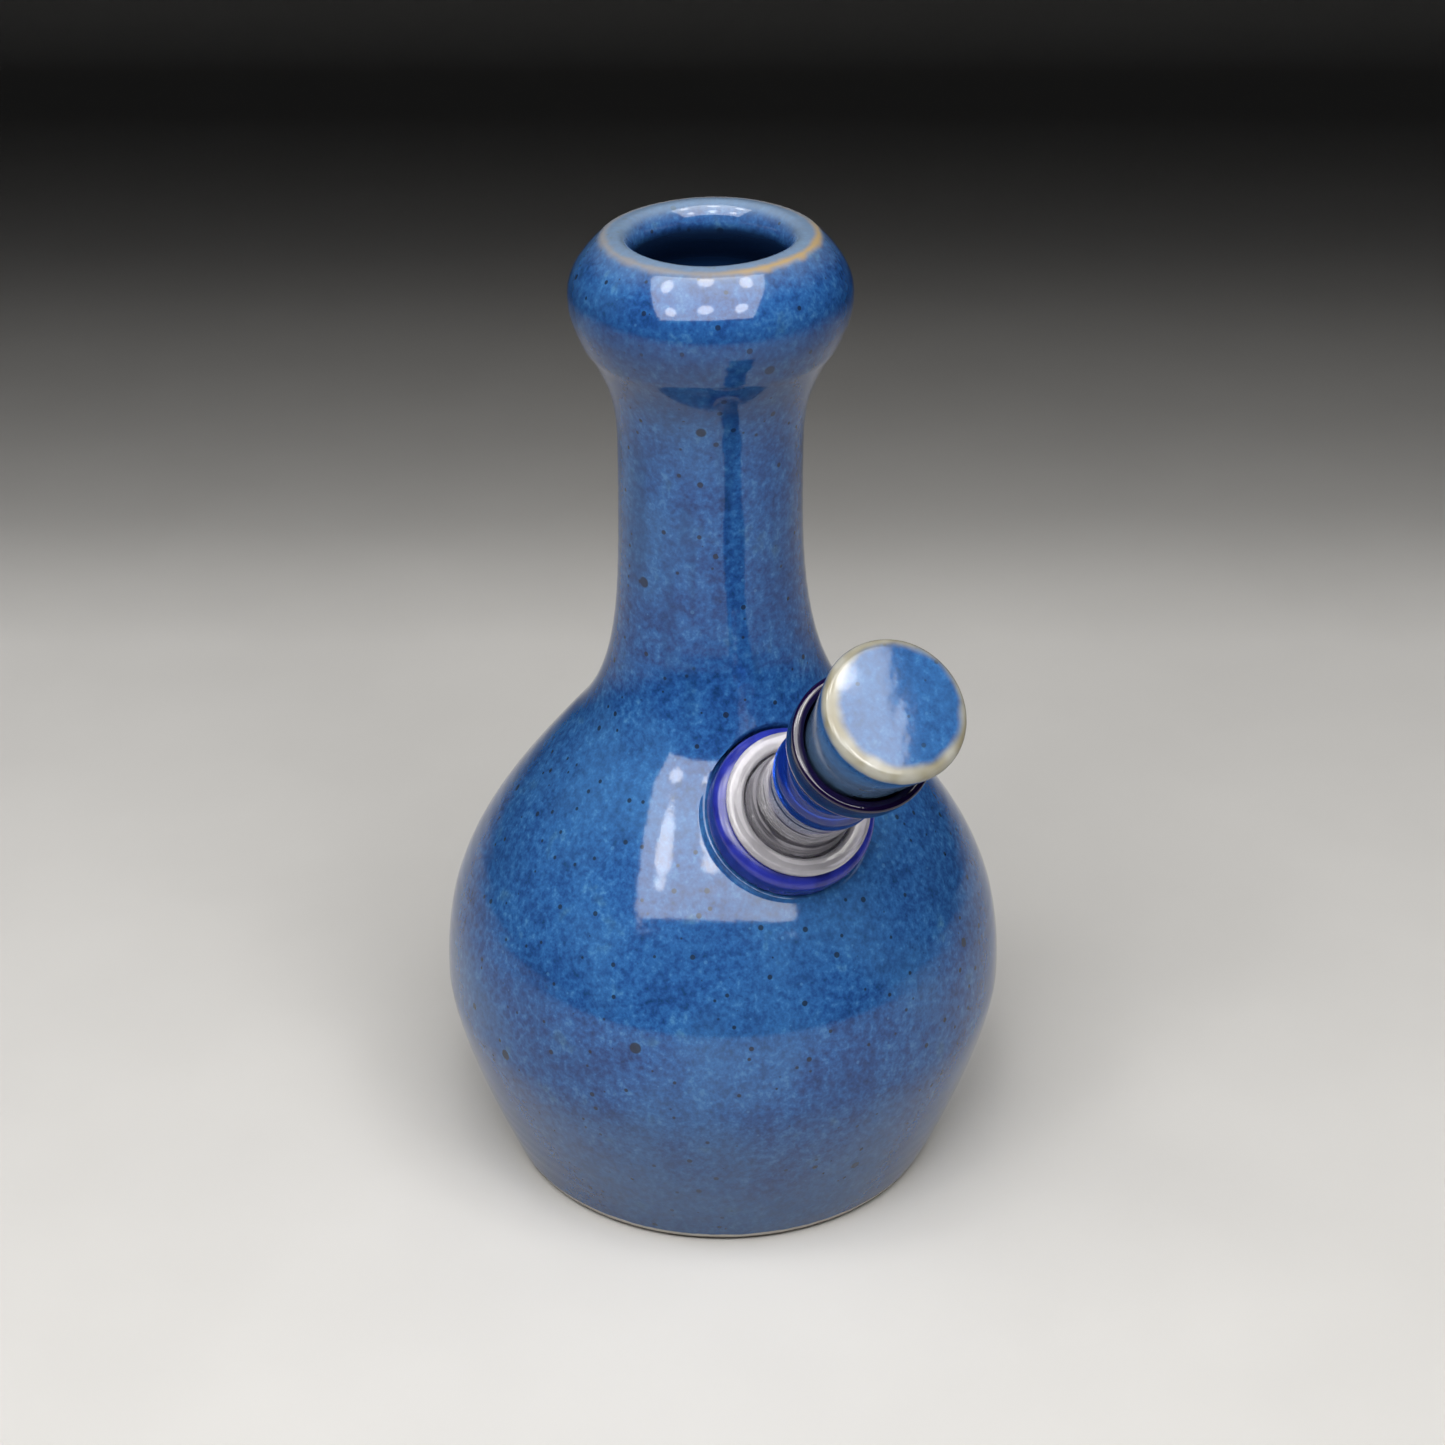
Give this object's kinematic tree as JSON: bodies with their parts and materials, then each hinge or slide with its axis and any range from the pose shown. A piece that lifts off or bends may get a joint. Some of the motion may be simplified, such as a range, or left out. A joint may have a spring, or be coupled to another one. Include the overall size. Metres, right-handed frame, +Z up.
{
  "type": "water pipe",
  "caption": "Round-bellied glazed stoneware water pipe with a garlic-shaped mouth, tilted grommet port, glass downstem, removable glass slide bowl and ceramic stopper.",
  "frame": {"origin": "centre of the flat foot the bottle stands on", "axes": "+Z up along the bottle's axis, from the foot to the mouth; +X the way the stem leans outward"},
  "size_m": [0.128, 0.1018, 0.178],
  "materials": {
    "glaze": "glossy mottled blue with dark iron specks",
    "grommet_rubber": "smooth ultramarine, soft sheen",
    "clear_glass": "clear, polished",
    "ground_glass": "clear with a finely ground taper",
    "blue_glass": "transparent blue, fire polished",
    "cobalt_glass": "very dark cobalt, fire polished",
    "stopper_glaze": "glossy blue, breaking to cream at the edge"
  },
  "bodies": {
    "vessel": {"vessel_body": "glaze", "port_grommet": "grommet_rubber"},
    "downstem": {"downstem_socket": "clear_glass", "downstem_tube": "clear_glass"},
    "slide": {"slide_joint": "ground_glass", "slide_neck": "blue_glass", "slide_bowl": "cobalt_glass"},
    "stopper": {"stopper": "stopper_glaze"}
  },
  "joints": [
    {"name": "downstem_pull", "type": "slide", "parent": "vessel", "child": "downstem", "axis": [0.6997, 0, 0.7145], "range_m": [0, 0.095]},
    {"name": "slide_pull", "type": "slide", "parent": "downstem", "child": "slide", "axis": [0.6997, 0, 0.7145], "range_m": [0, 0.035]},
    {"name": "stopper_lift", "type": "slide", "parent": "slide", "child": "stopper", "axis": [0.6997, 0, 0.7145], "range_m": [0, 0.02]}
  ]
}
